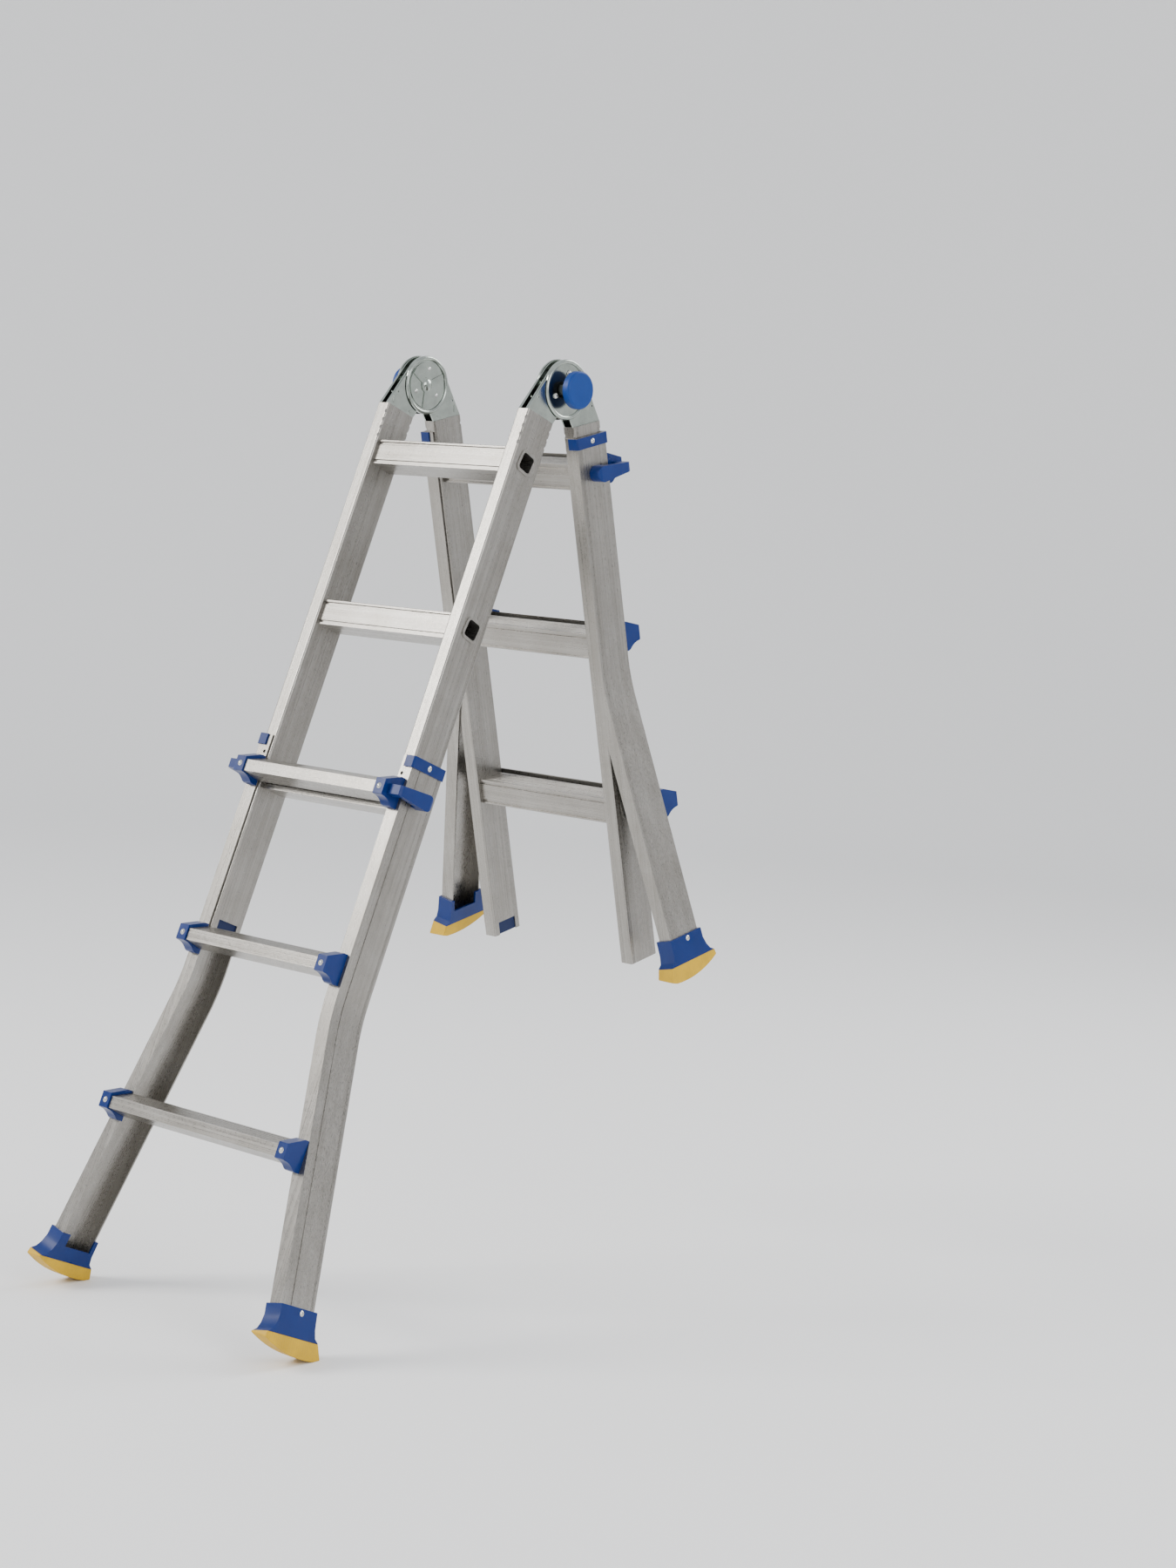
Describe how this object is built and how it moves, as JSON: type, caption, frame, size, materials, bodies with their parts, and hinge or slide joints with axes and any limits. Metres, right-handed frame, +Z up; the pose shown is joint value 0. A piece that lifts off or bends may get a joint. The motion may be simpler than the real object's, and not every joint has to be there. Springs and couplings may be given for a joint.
{
  "type": "multi position ladder",
  "caption": "Folding telescopic ladder: inner alloy sections joined by locking hinges, flared outer sections that slide and latch, blue fittings and yellow soles.",
  "frame": {"origin": "middle of the footprint box, on the floor under the front feet", "axes": "+X to the viewer's right along the rungs, -Y toward the front section's treads, +Z up"},
  "size_m": [0.5652, 0.9534, 1.4898],
  "materials": {
    "bare_alloy": "extruded, bare, fine lengthwise lines",
    "plated_steel": "bright zinc plate",
    "spring_steel": "drawn wire",
    "blue_plastic": "moulded, satin",
    "bright_blue_plastic": "moulded, satin",
    "dark_blue_plastic": "moulded",
    "black_plastic": "moulded",
    "yellow_rubber": "moulded, fine ribs"
  },
  "bodies": {
    "front_upper": {"front_left_inner_stile": "bare_alloy", "front_right_inner_stile": "bare_alloy", "front_inner_rung_1": "bare_alloy", "front_inner_rung_2": "bare_alloy", "front_inner_rung_3": "bare_alloy", "front_stile_plugs": "dark_blue_plastic", "left_hinge_leaf": "plated_steel", "right_hinge_leaf": "plated_steel", "hinge_lock_discs": "plated_steel"},
    "rear_upper": {"rear_left_inner_stile": "bare_alloy", "rear_right_inner_stile": "bare_alloy", "rear_inner_rung_1": "bare_alloy", "rear_inner_rung_2": "bare_alloy", "rear_inner_rung_3": "bare_alloy", "rear_stile_plugs": "dark_blue_plastic", "left_hinge_cheeks": "plated_steel", "right_hinge_cheeks": "plated_steel", "hinge_pivots": "plated_steel", "hinge_covers": "plated_steel", "hinge_rivets": "plated_steel"},
    "front_lower": {"front_left_outer_stile": "bare_alloy", "front_right_outer_stile": "bare_alloy", "front_outer_rung_1": "bare_alloy", "front_outer_rung_2": "bare_alloy", "front_outer_rung_3": "bare_alloy", "front_rung_brackets": "blue_plastic", "front_guide_clips": "blue_plastic", "front_left_shoe": "blue_plastic", "front_right_shoe": "blue_plastic", "front_left_sole": "yellow_rubber", "front_right_sole": "yellow_rubber", "front_bracket_screws": "plated_steel", "front_rivets": "plated_steel"},
    "rear_lower": {"rear_left_outer_stile": "bare_alloy", "rear_right_outer_stile": "bare_alloy", "rear_outer_rung_1": "bare_alloy", "rear_outer_rung_2": "bare_alloy", "rear_outer_rung_3": "bare_alloy", "rear_rung_brackets": "blue_plastic", "rear_guide_clips": "blue_plastic", "rear_left_shoe": "blue_plastic", "rear_right_shoe": "blue_plastic", "rear_left_sole": "yellow_rubber", "rear_right_sole": "yellow_rubber", "rear_bracket_screws": "plated_steel", "rear_rivets": "plated_steel"},
    "front_left_lock_body": {"front_left_lock": "blue_plastic", "front_left_lock_spring": "spring_steel"},
    "front_right_lock_body": {"front_right_lock": "blue_plastic", "front_right_lock_spring": "spring_steel"},
    "rear_left_lock_body": {"rear_left_lock": "blue_plastic", "rear_left_lock_spring": "spring_steel"},
    "rear_right_lock_body": {"rear_right_lock": "blue_plastic", "rear_right_lock_spring": "spring_steel"},
    "left_knob_body": {"left_knob": "bright_blue_plastic", "left_knob_stem": "black_plastic", "left_knob_spring": "spring_steel"},
    "right_knob_body": {"right_knob": "bright_blue_plastic", "right_knob_stem": "black_plastic", "right_knob_spring": "spring_steel"}
  },
  "joints": [
    {"name": "main_hinge", "type": "hinge", "parent": "front_upper", "child": "rear_upper", "pos_m": [0, 0.1452, 1.44184], "axis": [1, 0, 0], "range_deg": [-31.5, 145]},
    {"name": "front_extension", "type": "slide", "parent": "front_upper", "child": "front_lower", "axis": [0, -0.3502, -0.9367], "range_m": [-0.56, 0]},
    {"name": "rear_extension", "type": "slide", "parent": "rear_upper", "child": "rear_lower", "axis": [0, 0.2487, -0.9686], "range_m": [0, 0.56]},
    {"name": "front_left_lock_pull", "type": "slide", "parent": "front_lower", "child": "front_left_lock_body", "axis": [-1, 0, 0], "range_m": [0, 0.02], "stiffness_N_per_m": 600, "springref_m": -0.015, "deforming": ["front_left_lock_spring"]},
    {"name": "front_right_lock_pull", "type": "slide", "parent": "front_lower", "child": "front_right_lock_body", "axis": [1, 0, 0], "range_m": [0, 0.02], "stiffness_N_per_m": 600, "springref_m": -0.015, "deforming": ["front_right_lock_spring"]},
    {"name": "rear_left_lock_pull", "type": "slide", "parent": "rear_lower", "child": "rear_left_lock_body", "axis": [-1, 0, 0], "range_m": [0, 0.02], "stiffness_N_per_m": 600, "springref_m": -0.015, "deforming": ["rear_left_lock_spring"]},
    {"name": "rear_right_lock_pull", "type": "slide", "parent": "rear_lower", "child": "rear_right_lock_body", "axis": [1, 0, 0], "range_m": [0, 0.02], "stiffness_N_per_m": 600, "springref_m": -0.015, "deforming": ["rear_right_lock_spring"]},
    {"name": "left_knob_press", "type": "slide", "parent": "rear_upper", "child": "left_knob_body", "axis": [1, 0, 0], "range_m": [0, 0.008], "stiffness_N_per_m": 1500, "springref_m": -0.006, "deforming": ["left_knob_spring"]},
    {"name": "right_knob_press", "type": "slide", "parent": "rear_upper", "child": "right_knob_body", "axis": [-1, 0, 0], "range_m": [0, 0.008], "stiffness_N_per_m": 1500, "springref_m": -0.006, "deforming": ["right_knob_spring"]}
  ]
}
